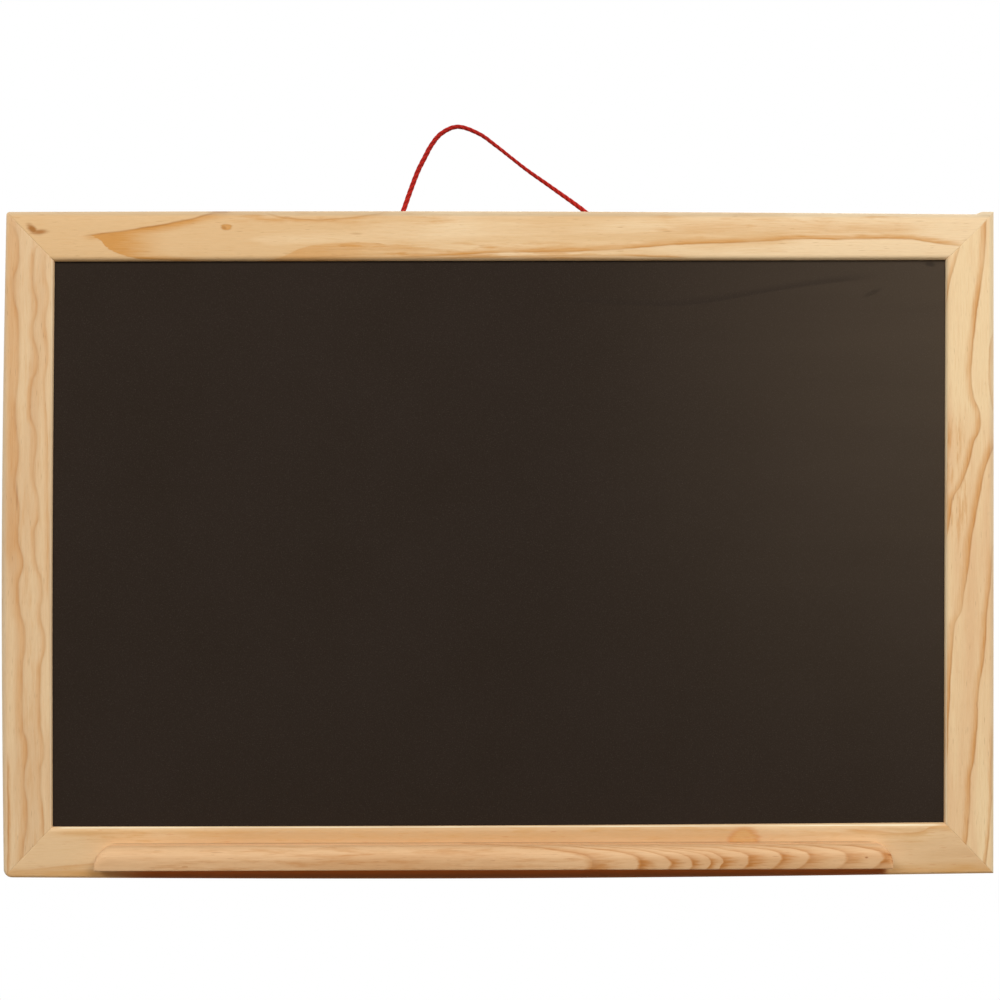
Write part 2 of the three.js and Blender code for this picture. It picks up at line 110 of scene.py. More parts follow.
class Look:
    """A material being made: each call adds one step and gives back its output"""

    def __init__(self, name):
        self.material = bpy.data.materials.new(name)
        self.material.use_nodes = True
        self.tree = self.material.node_tree
        self.tree.nodes.clear()
        place = self.tree.nodes.new("ShaderNodeTexCoord").outputs["Object"]
        split = self.node("ShaderNodeSeparateXYZ", Vector=place)
        self.x, self.y, self.z = (self.math("MULTIPLY", split.outputs[axis], 1 / MM) for axis in "XYZ")

    def put(self, socket, value):
        if isinstance(value, bpy.types.NodeSocket):
            self.tree.links.new(value, socket)
        else:
            socket.default_value = value

    def node(self, kind, **inputs):
        made = self.tree.nodes.new(kind)
        for name, value in inputs.items():
            self.put(made.inputs[name.replace("_", " ")], value)
        return made

    def math(self, operation, *values):
        made = self.tree.nodes.new("ShaderNodeMath")
        made.operation = operation
        for socket, value in zip(made.inputs, values):
            self.put(socket, value)
        return made.outputs[0]

    def chain(self, operation, values):
        """One operation through all values, from the first to the last"""
        total = values[0]
        for value in values[1:]:
            total = self.math(operation, total, value)
        return total

    def add(self, *values):
        return self.chain("ADD", values)

    def times(self, *values):
        return self.chain("MULTIPLY", values)

    def most(self, *values):
        return self.chain("MAXIMUM", values)

    def minus(self, value, amount):
        return self.math("SUBTRACT", value, amount)

    def distance(self, value, place):
        return self.math("ABSOLUTE", self.minus(value, place))

    def fade(self, value, low, high, start=0.0, end=1.0):
        """start up to low, end from high on, and smooth between them"""
        made = self.tree.nodes.new("ShaderNodeMapRange")
        made.interpolation_type = "SMOOTHSTEP"
        for socket, amount in zip(made.inputs, (value, low, high, start, end)):
            self.put(socket, amount)
        return made.outputs["Result"]

    def fade_out(self, value, low, high, start=1.0):
        return self.fade(value, low, high, start, 0.0)

    def between(self, value, low, high, ease):
        """1 from low to high, and 0 further than ease outside them"""
        return self.times(self.fade(value, low - ease, low), self.fade_out(value, high, high + ease))

    def oval(self, along, across, length, width, lean=0.0):
        """How far a place lies from an oval's middle, as a share of the way to its rim.
        along and across are measured from the middle, and the oval leans by an angle in degrees"""
        turn = math.radians(lean)
        cosine, sine = math.cos(turn), math.sin(turn)
        long = self.times(self.add(self.times(along, cosine), self.times(across, sine)), 2 / length)
        wide = self.times(self.add(self.times(along, -sine), self.times(across, cosine)), 2 / width)
        return self.math("SQRT", self.add(self.times(long, long), self.times(wide, wide)))

    def vector(self, x, y, z):
        return self.node("ShaderNodeCombineXYZ", X=x, Y=y, Z=z).outputs["Vector"]

    def stretched(self, along, across, depth, long, wide, shift=0.0):
        """A vector for noise whose features are long along the grain and wide across it"""
        return self.vector(
            self.math("MULTIPLY_ADD", along, 1 / long, shift),
            self.math("MULTIPLY", across, 1 / wide),
            self.math("MULTIPLY", depth, 1 / wide),
        )

    def noise(self, vector, scale=1.0, detail=2.0, roughness=0.5):
        """Noise centred on 0, from about -0.5 to 0.5"""
        made = self.node("ShaderNodeTexNoise", Vector=vector, Scale=scale, Detail=detail, Roughness=roughness)
        return self.minus(made.outputs[0], 0.5)

    def speckle(self, scale, detail, roughness):
        """Noise that looks the same in all directions"""
        return self.noise(self.vector(self.x, self.y, self.z), scale, detail, roughness)

    def mix(self, share, first, second, blend="MIX"):
        """Two colours mixed: a mix node takes colours at its inputs 6 and 7, and gives one at output 2"""
        made = self.tree.nodes.new("ShaderNodeMix")
        made.data_type = "RGBA"
        made.blend_type = blend
        for index, value in ((0, share), (6, first), (7, second)):
            self.put(made.inputs[index], value)
        return made.outputs[2]

    def path(self, along, points, straight=False):
        """The value at a distance along, read off a curve drawn through (along, value) points"""
        values = [value for _, value in points]
        low, high = min(values) - 1, max(values) + 1
        start = points[0][0]
        length = points[-1][0] - start
        made = self.tree.nodes.new("ShaderNodeFloatCurve")
        curve = made.mapping.curves[0]
        places = [((place - start) / length, (value - low) / (high - low)) for place, value in points]
        curve.points[0].location = places[0]
        curve.points[1].location = places[-1]
        for place in places[1:-1]:
            curve.points.new(*place)
        for point in curve.points:
            point.handle_type = "VECTOR" if straight else "AUTO"
        made.mapping.update()
        self.put(made.inputs["Value"], self.math("MULTIPLY_ADD", along, 1 / length, -start / length))
        return self.math("MULTIPLY_ADD", made.outputs[0], high - low, low)

    def finish(self, colour, roughness, bump=None, depth=0.1, **inputs):
        shader = self.node("ShaderNodeBsdfPrincipled", Base_Color=colour, Roughness=roughness)
        for name, value in inputs.items():
            self.put(shader.inputs[name.replace("_", " ")], value)
        if bump is not None:
            raised = self.node("ShaderNodeBump", Height=bump, Distance=depth * MM)
            self.tree.links.new(raised.outputs["Normal"], shader.inputs["Normal"])
        out = self.tree.nodes.new("ShaderNodeOutputMaterial")
        self.tree.links.new(shader.outputs[0], out.inputs["Surface"])
        return self.material


def tint(red, green, blue):
    """A colour given as it looks on a screen, from 0 to 255, by the screens' own standard curve"""
    def linear(value):
        share = value / 255
        return share / 12.92 if share <= 0.04045 else ((share + 0.055) / 1.055) ** 2.4
    return (linear(red), linear(green), linear(blue), 1.0)


# How far the growth rings lean over from a piece's front to its back
RING_LEAN = 0.8

# Colours over the wood: pale for a painted highlight along front edges, grey for painted shade along outer
# edges, and dark for seam lines and a painted shadow
EDGE_HIGHLIGHT = (252, 240, 206)
RIM_SHADE = (174, 168, 150)
SEAM_AND_SHADOW = (92, 70, 50)


class Pine(Look):
    """Pine seen along one piece: pale wood, fine fibres, and growth rings drawn one by one.
    Places are in millimetres, along the piece and across it from one of its edges"""

    def __init__(self, name, along, across, front=-THICKNESS, lean=RING_LEAN, seed=0.0):
        super().__init__(name)
        self.seed = seed
        self.depth = self.minus(self.y, front)
        self.along = along(self)
        self.inward = across(self)
        self.across = self.math("MULTIPLY_ADD", self.depth, lean, self.inward)
        self.wavy = self.math("MULTIPLY_ADD", self.grain(14, 9, detail=3.0), 1.4, self.across)
        self.ragged = self.math("MULTIPLY_ADD", self.grain(9, 1.1, 13.0), 2.2, self.wavy)
        self.uneven = self.fade(self.grain(45, 8, 3.0), -0.25, 0.2, 0.45, 1.0)
        self.amber = 0.0
        self.brown = 0.0
        self.toning = 0.0
        self.edge_highlight = 0.0
        self.rim_shade = 0.0
        self.seam_and_painted_shadow = 0.0

    def grain(self, long, wide, shift=0.0, detail=2.0, roughness=0.5):
        """Noise whose features are long along this piece's grain and wide across it"""
        place = self.stretched(self.along, self.across, self.depth, long, wide, self.seed + shift)
        return self.noise(place, detail=detail, roughness=roughness)

    def on_front(self):
        return self.fade_out(self.depth, INNER_EDGE, INNER_EDGE + 1)

    def painted_edge_highlight(self, start, end, across, width, strength):
        """Painted highlight: a pale line along a front edge, where light catches its rounded arris"""
        off = self.distance(self.across, across)
        line = self.times(self.fade_out(off, 0.3, width, strength), self.between(self.along, start, end, 8))
        self.edge_highlight = self.most(self.edge_highlight, self.times(line, self.uneven, self.on_front()))

    def painted_rim_shade(self, strength):
        """Painted shade: the front's outer edge greyed, as where the rounded edge turns from the light"""
        self.rim_shade = self.times(self.fade_out(self.inward, 0.5, 3, strength), self.on_front())

    def tone(self, start, end, amount, low=-5, high=40):
        """Shifts a region of the wood towards its tan tone, or its pale one below 0"""
        along = self.between(self.along, start, end, 40)
        across = self.between(self.across, low, high, 3)
        self.toning = self.add(self.toning, self.times(along, across, amount))

    def ring(self, points, glow, side=1, strength=1.0, line=0.9, dark=0.32, ease=14.0):
        """A growth ring: a thin brown line with an amber glow on one side of it.
        side is 1 where the glow lies further across the piece, and -1 where it lies nearer."""
        start, end = points[0][0], points[-1][0]
        drawn = self.path(self.along, points)
        off = self.times(self.minus(self.wavy, drawn), side)
        rough = self.times(self.minus(self.ragged, drawn), side)
        reach = self.between(self.along, start + ease / 2, end - ease / 2, ease)
        there = self.times(reach, self.uneven, strength)
        soft = self.times(self.fade(off, -0.6, 0.1), self.fade_out(rough, 0.2, glow), there)
        thin = self.times(self.fade_out(self.math("ABSOLUTE", off), 0.0, line), there)
        self.amber = self.most(self.amber, soft)
        self.brown = self.most(self.brown, self.times(thin, dark))

    def patch(self, upper, lower, tip, end, strength=1.0):
        """Amber wood between two curves, deepest at its tip and along its edges"""
        below = self.minus(self.wavy, self.path(self.along, upper))
        above = self.minus(self.path(self.along, lower), self.ragged)
        inside = self.times(self.fade(below, -0.2, 0.5), self.fade(above, -0.3, 0.6))
        near = self.most(
            self.fade_out(self.along, tip, end),
            self.times(self.fade_out(below, 0.3, 6, 0.9), self.fade_out(self.along, end, end + 60)),
            self.times(self.fade_out(above, 0.3, 5, 0.8), self.fade_out(self.along, end, end + 25)),
        )
        self.amber = self.most(self.amber, self.times(inside, near, strength))

    def mottle(self, start, end, low, high, strength, shift=0.0):
        """Broken amber streaks inside a region"""
        blots = self.grain(26, 3.2, 17.0 + shift, detail=4.0, roughness=0.6)
        along = self.between(self.along, start, end, 25)
        across = self.between(self.ragged, low, high, 2)
        region = self.times(along, across, strength)
        self.amber = self.most(self.amber, self.times(self.fade(blots, -0.06, 0.22), region))

    def streak(self, start, end, middle, width, strength, ease=25.0):
        """A soft amber streak along the piece"""
        line = self.fade_out(self.distance(self.wavy, middle), 0.0, width)
        mask = self.times(line, self.between(self.along, start, end, ease), self.uneven, strength)
        self.amber = self.most(self.amber, mask)

    def frayed_oval(self, place, across, length, width, lean=0.0):
        """How far a place lies from an oval's middle, with a rim frayed along the grain"""
        aside = self.minus(self.along, place)
        up = self.minus(self.across, across)
        frayed = self.times(self.minus(self.ragged, self.across), 0.3)
        return self.add(self.oval(aside, up, length, width, lean), frayed)

    def stain(self, place, across, length, width, strength, lean=0.0):
        """A brown stain that leans from the grain by an angle in degrees"""
        far = self.frayed_oval(place, across, length, width, lean)
        self.brown = self.most(self.brown, self.fade_out(far, 0.3, 1.2, strength))

    def knot(self, place, across, length, width, strength=1.0, rim=0.15):
        """A small knot, a little darker at its rim"""
        far = self.frayed_oval(place, across, length, width)
        inside = self.times(self.fade_out(far, 0.75, 1.1), strength)
        edge = self.times(self.fade(far, 0.55, 0.9), self.fade_out(far, 0.95, 1.25), rim * strength)
        self.amber = self.most(self.amber, inside)
        self.brown = self.most(self.brown, edge)

    def seam_line(self, start, end, across):
        """A thin dark line where another piece meets the wood in front"""
        off = self.distance(self.across, across)
        line = self.times(self.fade_out(off, 0.3, 0.9, 0.4), self.between(self.along, start, end, 6))
        self.seam_and_painted_shadow = self.most(self.seam_and_painted_shadow, self.times(line, self.on_front()))

    def painted_shadow_band(self, start, end, start_ease, end_ease, high, strength):
        """Painted shadow: a brown band along the front's edge, up to a height across the piece and darkest at
        the edge, for the shade that a piece in front of it casts
        """
        along = self.times(
            self.fade(self.along, start - start_ease, start + start_ease),
            self.fade_out(self.along, end - end_ease, end + end_ease),
        )
        band = self.times(along, self.fade_out(self.across, high, high + 2, strength), self.on_front())
        self.brown = self.most(self.brown, band)
        self.seam_and_painted_shadow = self.most(self.seam_and_painted_shadow, self.times(band, self.fade_out(self.across, -1, 2.8, 0.6)))

    def dressed(self, pale, tan, amber=(208, 148, 84), brown=(152, 96, 52)):
        """The finished wood, from its drawn rings and the tones that it takes between them"""
        broad = self.grain(120, 10, 7.0, detail=3.0)
        fine = self.grain(16, 0.45, detail=3.0)
        hair = self.grain(5, 0.25, 5.0, detail=1.0)
        dash = self.grain(7, 0.6, 9.0, detail=0.0)
        colour = self.mix(self.add(self.fade(broad, -0.2, 0.2), self.toning), tint(*pale), tint(*tan))
        colour = self.mix(self.fade(fine, -0.05, 0.32, 0.0, 0.3), colour, tint(*amber))
        streaked = self.times(self.amber, self.math("MULTIPLY_ADD", fine, 1.2, 0.93))
        colour = self.mix(streaked, colour, tint(*amber))
        colour = self.mix(self.brown, colour, tint(*brown))
        colour = self.mix(self.fade(dash, 0.22, 0.36, 0.0, 0.35), colour, tint(*brown))
        # Mixed in last: the painted edge highlight, the painted rim shade, then seam lines and the painted
        # shadow
        for share, over in ((self.edge_highlight, EDGE_HIGHLIGHT), (self.rim_shade, RIM_SHADE), (self.seam_and_painted_shadow, SEAM_AND_SHADOW)):
            colour = self.mix(share, colour, tint(*over))
        grey = self.math("MULTIPLY_ADD", hair, 0.14, 1.0)
        colour = self.mix(1.0, colour, self.vector(grey, grey, grey), "MULTIPLY")
        rough = self.math("MULTIPLY_ADD", fine, 0.15, 0.56)
        bump = self.add(fine, self.times(self.amber, 0.4))
        return self.finish(colour, rough, bump, 0.05, Specular_IOR_Level=0.15)


# Where a place lies along or across a piece

def rightwards(look):
    return look.x


def up_from_foot(look):
    return look.minus(look.z, FOOT)


def down_from_top(look):
    return look.minus(TOP, look.z)


def in_from_left(look):
    return look.math("ADD", look.x, HALF)


def in_from_right(look):
    return look.minus(HALF, look.x)


def up_from_ledge_foot(look):
    return look.minus(look.z, LEDGE_FOOT)


# The wood of each piece, its rings and marks placed in millimetres along it and across it

def top_rail_wood():
    wood = Pine("pine_top_rail", rightwards, down_from_top, seed=1.0)
    flame = [(-248, 14), (-235, 12.5), (-220, 10.5), (-205, 8), (-188, 4.5), (-177, 1.5)]
    wood.ring([*flame, (-165, -1)], glow=5, strength=1.3, line=1.0, dark=0.6)
    wood.patch(
        [*flame, (-100, -6)],
        [(-248, 14.2), (-246, 15.3), (-242, 17.3), (-237, 22.3), (-231, 25), (-226, 27), (-217, 29),
         (-100, 34)],
        tip=-238, end=-198, strength=1.2,
    )
    wood.ring(
        [(-140, 1), (-128, 3.5), (-115, 4.5), (-100, 4), (-85, 2.5), (-70, 0)],
        glow=2.5, strength=0.9, dark=0.35,
    )
    wood.mottle(-150, -40, low=1, high=6, strength=0.7)
    wood.patch(
        [(-150, 33), (-138, 29), (-129, 25.6), (-120, 21.5), (-106, 19), (-82, 18), (-65, 20), (-44, 21.4),
         (0, 24), (60, 27)],
        [(-150, 34), (-100, 36), (-40, 36), (60, 36)],
        tip=-112, end=-60, strength=0.6,
    )
    wood.mottle(-110, 30, low=19, high=28, strength=0.9, shift=2.0)
    wood.streak(-120, 60, middle=27.5, width=2, strength=0.8)
    wood.ring(
        [(-122, 30), (-104, 27), (-70, 25), (-30, 25.5), (20, 27.5), (60, 28)],
        glow=2, strength=0.8, dark=0.25,
    )
    wood.ring([(-112, 25), (-90, 22), (-60, 22), (-30, 23.5), (0, 25.5)], glow=2, strength=0.6, dark=0.15)
    wood.ring(
        [(-60, 27), (-30, 26), (0, 24), (36, 23.5), (72, 22), (107, 19), (147, 17.5), (165, 16.5),
         (180, 15.5), (213, 15.5), (244, 15), (259, 17), (280, 19.5)],
        glow=4.5, side=-1, ease=20,
    )
    wood.ring([(-50, 28), (0, 27), (60, 26), (110, 27.5)], glow=2, side=-1, strength=0.8)
    wood.mottle(105, 245, low=2, high=15, strength=0.5, shift=5.0)
    wood.streak(120, 240, middle=9, width=7, strength=0.5)
    wood.knot(-165.5, 9, length=7, width=3.8)
    wood.stain(-167, 9.5, length=4, width=2.4, strength=0.5, lean=20)
    wood.stain(-282.5, 10.5, length=10, width=5, strength=0.95, lean=42)
    wood.stain(-278, 12.4, length=13, width=4, strength=0.85, lean=-4)
    wood.stain(-170, 0.5, length=16, width=1, strength=0.6)
    wood.stain(-87, 13, length=8, width=1.5, strength=0.25)
    wood.tone(-300, -180, 1.15)
    wood.tone(-175, -60, 0.5)
    wood.tone(200, 300, -1.0)
    # Painted shade along the outer edge
    wood.painted_rim_shade(0.4)
    return wood.dressed(
        pale=(238, 209, 167), tan=(224, 186, 137), amber=(208, 149, 79), brown=(166, 108, 48),
    )


def bottom_rail_wood():
    wood = Pine("pine_bottom_rail", rightwards, up_from_foot, seed=11.0)
    wood.streak(-255, -160, middle=26, width=3.5, strength=0.7)
    wood.streak(-235, 135, middle=23.5, width=6, strength=0.45)
    wood.mottle(-240, 130, low=21, high=29, strength=0.8)
    wood.mottle(180, 290, low=20, high=29, strength=0.5, shift=3.0)
    wood.ring(
        [(212, 27), (227, 26), (242, 24.7), (255, 25.4), (262, 28.4), (270, 29.3), (279, 26), (286, 23)],
        glow=5, side=-1, strength=0.9, dark=0.15,
    )
    # Painted shade: amber streaks along the foot's rounded edge, which faces down, darken it as shade does
    wood.streak(-290, 300, middle=1.5, width=4.5, strength=1.0)
    wood.streak(240, 300, middle=2.5, width=6, strength=1.2, ease=8)
    wood.ring(
        [(-292, 3), (-270, 5.5), (-250, 7), (-235, 8.5), (-215, 8)],
        glow=3.5, side=-1, strength=0.6, dark=0.2,
    )
    wood.knot(148, 20, length=19, width=17, strength=0.9, rim=0.25)
    wood.seam_line(-230, 222, LEDGE_FOOT - FOOT + LEDGE_THICKNESS)
    # Painted shadow of the ledge on the rail's foot, in brown, darker towards the bottom edge
    wood.painted_shadow_band(-225, 234, start_ease=18, end_ease=3, high=LEDGE_FOOT - FOOT + 1, strength=0.92)
    wood.tone(-140, 140, 0.8, low=18)
    wood.tone(-300, -215, -0.4, low=8)
    wood.tone(130, 235, -0.4, low=8)
    # Painted highlight along the inner edge
    wood.painted_edge_highlight(-262, 262, BOTTOM_RAIL - 0.3, width=1.0, strength=0.9)
    # This brown is the painted shadow's colour under the ledge, and also that of the rail's rings and knot
    # rim
    return wood.dressed(
        pale=(227, 192, 147), tan=(214, 175, 130), amber=(209, 159, 98), brown=(190, 98, 30),
    )


def left_stile_wood():
    wood = Pine("pine_left_stile", up_from_foot, in_from_left, seed=23.0)
    wood.ring(
        [(170, 27.5), (203, 27.5), (245, 27), (275, 26.5), (293, 25), (317, 27), (335, 25.5), (350, 27.5),
         (364, 25.5), (380, 26.5)],
        glow=4, side=-1, strength=0.45, line=1.8, dark=0.2,
    )
    wood.ring(
        [(20, 25), (32, 25), (61, 22.5), (75, 25), (94, 22.5), (112, 22.5), (124, 22.5), (142, 25.5),
         (159, 22.5), (171, 24), (185, 21), (205, 19), (221, 22), (244, 18.5), (262, 20.5), (282, 16.5),
         (299, 18), (313, 21), (329, 18), (344, 20.5), (358, 18), (380, 21)],
        glow=4, side=-1, strength=0.65, line=1.8, dark=0.26,
    )
    wood.ring(
        [(0, 12), (18, 13), (39, 15), (59, 13), (75, 15), (89, 12.5), (106, 12), (126, 12), (142, 13.5),
         (159, 10.5), (175, 9.5), (189, 12), (205, 9), (221, 10), (236, 7.5), (254, 9.5), (279, 7.5),
         (307, 9.5), (338, 9), (356, 6), (374, 9.5), (393, 4)],
        glow=7, side=-1, strength=0.7, line=2.0, dark=0.28,
    )
    wood.ring([(0, 3), (30, 3.5), (70, 3)], glow=2, strength=0.8)
    wood.streak(200, 390, middle=5, width=5, strength=0.6)
    wood.stain(228, 8.5, length=22, width=1.6, strength=0.4)
    wood.mottle(20, 380, low=9, high=22, strength=0.3)
    wood.tone(-15, 110, -0.3)
    # Painted highlight along the inner edge
    wood.painted_edge_highlight(10, 375, STILE - 0.3, width=0.8, strength=0.4)
    # Painted shade along the outer edge
    wood.painted_rim_shade(0.3)
    return wood.dressed(pale=(228, 197, 155), tan=(216, 178, 135))


def right_stile_wood():
    wood = Pine("pine_right_stile", up_from_foot, in_from_right, seed=37.0)
    wood.ring(
        [(205, 29), (211, 27.5), (227, 25), (236, 20), (246, 16), (262, 12), (275, 8), (291, 12.5),
         (303, 13.5), (319, 12.5), (338, 10.5), (358, 7.5), (378, 5), (400, 4)],
        glow=5,
    )
    wood.mottle(215, 260, low=17, high=30, strength=0.9)
    wood.ring(
        [(70, 29), (100, 27.5), (134, 25.5), (150, 24), (161, 19.5), (169, 18.5), (185, 15.5), (202, 13.5),
         (214, 11.5), (230, 8.5), (242, 6), (256, 1.5), (264, -1)],
        glow=6, strength=0.95,
    )
    wood.ring(
        [(12, 18), (22, 16.5), (39, 15), (57, 14.5), (71, 12), (87, 10.5), (110, 9.5), (134, 5.5), (154, 4.5),
         (177, 2), (196, 1)],
        glow=4.5,
    )
    wood.ring([(0, 6), (8, 5), (39, 2), (69, 1.5), (85, 1)], glow=2.5, strength=0.8)
    wood.ring([(282, 0.5), (289, 1.5), (303, 2.5), (319, 2), (326, 1)], glow=3, side=-1, strength=0.7)
    wood.ring([(340, 30), (358, 27), (372, 23), (383, 20), (392, 18)], glow=3.5, strength=0.7)
    wood.tone(310, 400, -0.6)
    # Painted highlight along the inner edge
    wood.painted_edge_highlight(10, 375, STILE - 0.3, width=0.9, strength=0.6)
    # Painted shade along the outer edge
    wood.painted_rim_shade(0.35)
    return wood.dressed(pale=(237, 208, 163), tan=(227, 188, 143))


# The places along the ledge that its rings' noses reach, and how far its rings lean over to its back
LEDGE_RINGS = (-11, 55, 84, 102, 115, 126, 133, 149, 169, 185, 208, 230, 256)
LEDGE_RING_LEAN = 0.15


def draw_ledge_rings(wood):
    """Rings seen as noses that point right: each sweeps back to the left above and below its nose.
    Every place has a reach, the place along the ledge of the nose of the ring that it lies on"""
    nose_height = wood.fade(wood.x, 100, 180, 3.5, 7.3)
    off = wood.minus(wood.wavy, nose_height)
    above = wood.math("MAXIMUM", off, 0.0)
    below = wood.math("MINIMUM", off, 0.0)
    rise = wood.times(above, above)
    sweep = wood.fade(wood.x, 125, 165, 0.14, 0.2)
    bend = wood.fade(wood.x, 125, 165, 0.0022, 0.006)
    ripple = wood.grain(9, 3, 26.0)
    reach = wood.add(
        wood.x,
        wood.times(rise, wood.math("MULTIPLY_ADD", rise, bend, sweep)),
        wood.times(below, below, 0.15),
        wood.times(ripple, 3.5),
    )
    count = wood.path(reach, [(place, index) for index, place in enumerate(LEDGE_RINGS)], straight=True)
    part = wood.math("FRACT", count)
    there = wood.times(wood.fade(reach, -20, 60, 0.1, 1.0), wood.fade_out(reach, 250, 256), wood.uneven)
    blur = wood.times(wood.minus(wood.ragged, wood.wavy), 0.3)
    fading = wood.most(wood.fade_out(wood.add(part, blur), 0.0, 0.7), wood.fade(part, 0.9, 1.0))
    wood.amber = wood.times(fading, there, wood.most(wood.between(off, -3, 1.5, 3), 0.55), 1.15)
    wood.brown = wood.times(wood.fade_out(part, 0.0, 0.2), there, 0.27)


def ledge_wood():
    front = -THICKNESS - LEDGE_DEPTH
    wood = Pine("pine_ledge", rightwards, up_from_ledge_foot, front, LEDGE_RING_LEAN, seed=51.0)
    draw_ledge_rings(wood)
    wood.mottle(-200, 60, low=1, high=14, strength=0.55)
    wood.tone(-245, -140, -0.5, high=20)
    # Painted highlight: the ledge's upward-facing top is paled
    wood.tone(-245, 240, -0.7, low=11.5, high=60)
    wood.knot(-188, 2.5, length=4, width=1.5, strength=0.6)
    wood.stain(219, 7, length=2.4, width=1.2, strength=0.8)
    wood.stain(233.5, 8.6, length=4, width=1.1, strength=0.8, lean=-4)
    return wood.dressed(
        pale=(224, 183, 138), tan=(211, 165, 118), amber=(190, 127, 66), brown=(150, 88, 42),
    )


# The curve along which the panel's dust was wiped away, across and up
PANEL_WIPE = (
    (30, 333.5), (46, 332.5), (75, 330.7), (104, 330), (126.5, 332), (141, 334.5), (171, 339.7),
    (200.5, 344), (234, 347.5),
)

# Smears on the panel: place, height, length, width, lean in degrees and strength
PANEL_SMEARS = ((227, 338, 13, 3, 23, 0.4), (262.3, 355.5, 7, 3.5, -10, 0.6))


def wiped_marks(look):
    """The wiped curve, sharp below and soft above, and the smears"""
    off = look.minus(look.z, look.path(look.x, PANEL_WIPE))
    line = look.times(look.fade(off, -1.0, 0.4), look.fade_out(off, 0.4, 5))
    marks = look.times(line, look.between(look.x, 60, 203, 30), 0.42)
    for x, z, length, width, lean, strength in PANEL_SMEARS:
        far = look.oval(look.minus(look.x, x), look.minus(look.z, z), length, width, lean)
        marks = look.most(marks, look.fade_out(far, 0.3, 1.3, strength))
    return marks


def panel_paint():
    """Matt black writing paint in front, brown hardboard behind"""
    look = Look("board_paint")
    dust = look.speckle(1.6, 3.0, 0.7)
    cloud = look.speckle(0.012, 3.0, 0.6)
    wiped = look.noise(look.stretched(look.x, look.z, look.y, 160, 22, 4.0), detail=3.0)
    # Partly chalk dust, partly painted sheen: the paint pales towards grey at the upper right, a painted
    # reflection of the light
    aside = look.fade(look.x, 0, 330)
    up = look.fade(look.z, -60, 380)
    dust_and_sheen = look.times(aside, up, look.math("MULTIPLY_ADD", wiped, 0.35, 1.0), 0.7)
    paint = look.mix(look.fade(cloud, -0.3, 0.3), tint(37, 28, 20), tint(40, 31, 24))
    paint = look.mix(dust_and_sheen, paint, tint(80, 68, 55))
    paint = look.mix(wiped_marks(look), paint, tint(38, 30, 24))
    paint = look.mix(look.fade(dust, 0.0, 0.3, 0.0, 0.25), paint, tint(100, 90, 80))
    fibre = look.speckle(0.9, 4.0, 0.8)
    board = look.mix(look.fade(fibre, -0.2, 0.25), tint(112, 78, 48), tint(142, 104, 66))
    normal = look.node("ShaderNodeNewGeometry").outputs["Normal"]
    facing = look.node("ShaderNodeSeparateXYZ", Vector=normal).outputs["Y"]
    behind = look.fade(facing, -0.5, -0.4)
    colour = look.mix(behind, paint, board)
    return look.finish(colour, 0.78, look.add(dust, fibre), 0.03, Specular_IOR_Level=0.1)


def metal(name, colour, roughness):
    look = Look(name)
    spots = look.speckle(0.8, 3.0, 0.6)
    dull = look.mix(look.fade(spots, 0.0, 0.35, 0.0, 0.6), tint(*colour), tint(120, 110, 98))
    rough = look.math("MULTIPLY_ADD", spots, 0.3, roughness)
    return look.finish(dull, rough, spots, 0.02, Metallic=1.0)


def cord_fibre():
    """Twisted satin cord: fine threads in each strand, with painted shade in the dips between strands"""
    look = Look("cord_fibre")
    groove_shade = look.node("ShaderNodeAttribute")
    groove_shade.attribute_name = "groove_shade"
    threads = look.speckle(4.0, 2.0, 0.6)
    colour = look.mix(look.fade(threads, -0.25, 0.3), tint(160, 23, 15), tint(190, 40, 28))
    # Painted shade in the dips between strands
    colour = look.mix(look.times(groove_shade.outputs["Fac"], 0.9), colour, tint(100, 12, 8))
    return look.finish(colour, 0.7, threads, 0.12, Specular_IOR_Level=0.12)


# Meshes

# Faces that meet at more than this angle keep a sharp edge, in degrees
SHARP_ANGLE = 32


def closed_mesh(name, points, faces):
    """A mesh from points in millimetres, its faces turned outwards"""
    mesh = bpy.data.meshes.new(name)
    mesh.from_pydata([Vector(point) * MM for point in points], [], faces)
    solid = bmesh.new()
    solid.from_mesh(mesh)
    bmesh.ops.recalc_face_normals(solid, faces=solid.faces)
    solid.to_mesh(mesh)
    solid.free()
    mesh.polygons.foreach_set("use_smooth", [True] * len(mesh.polygons))
    mesh.set_sharp_from_angle(angle=math.radians(SHARP_ANGLE))
    return mesh


def show(name, points, faces, material, body, slot, *nodes):
    """A closed piece riding on a body in the place of its CAD nodes"""
    mesh = closed_mesh(name, points, faces)
    mesh.materials.append(material)
    piece = bpy.data.objects.new(name, mesh)
    bpy.context.collection.objects.link(piece)
    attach(piece, body)
    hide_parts(*nodes)
    return piece


def cut_out(piece, points, faces):
    """Cuts a closed body out of a piece"""
    cutter = bpy.data.objects.new("cutter", closed_mesh("cutter", points, faces))
    bpy.context.collection.objects.link(cutter)
    modifier = piece.modifiers.new("cut", "BOOLEAN")
    modifier.operation = "DIFFERENCE"
    modifier.solver = "EXACT"
    modifier.object = cutter
    bpy.context.view_layer.update()
    ready = piece.evaluated_get(bpy.context.evaluated_depsgraph_get())
    piece.data = bpy.data.meshes.new_from_object(ready)
    piece.data.set_sharp_from_angle(angle=math.radians(SHARP_ANGLE))
    piece.modifiers.clear()
    bpy.data.objects.remove(cutter)


def skin(rings):
    """Points and faces of a closed body through rings of points"""
    count = len(rings[0])
    faces = [
        (row * count + turn, row * count + (turn + 1) % count,
         (row + 1) * count + (turn + 1) % count, (row + 1) * count + turn)
        for row in range(len(rings) - 1)
        for turn in range(count)
    ]
    faces.append(tuple(range(count)))
    faces.append(tuple(range((len(rings) - 1) * count, len(rings) * count)))
    return [point for ring in rings for point in ring], faces


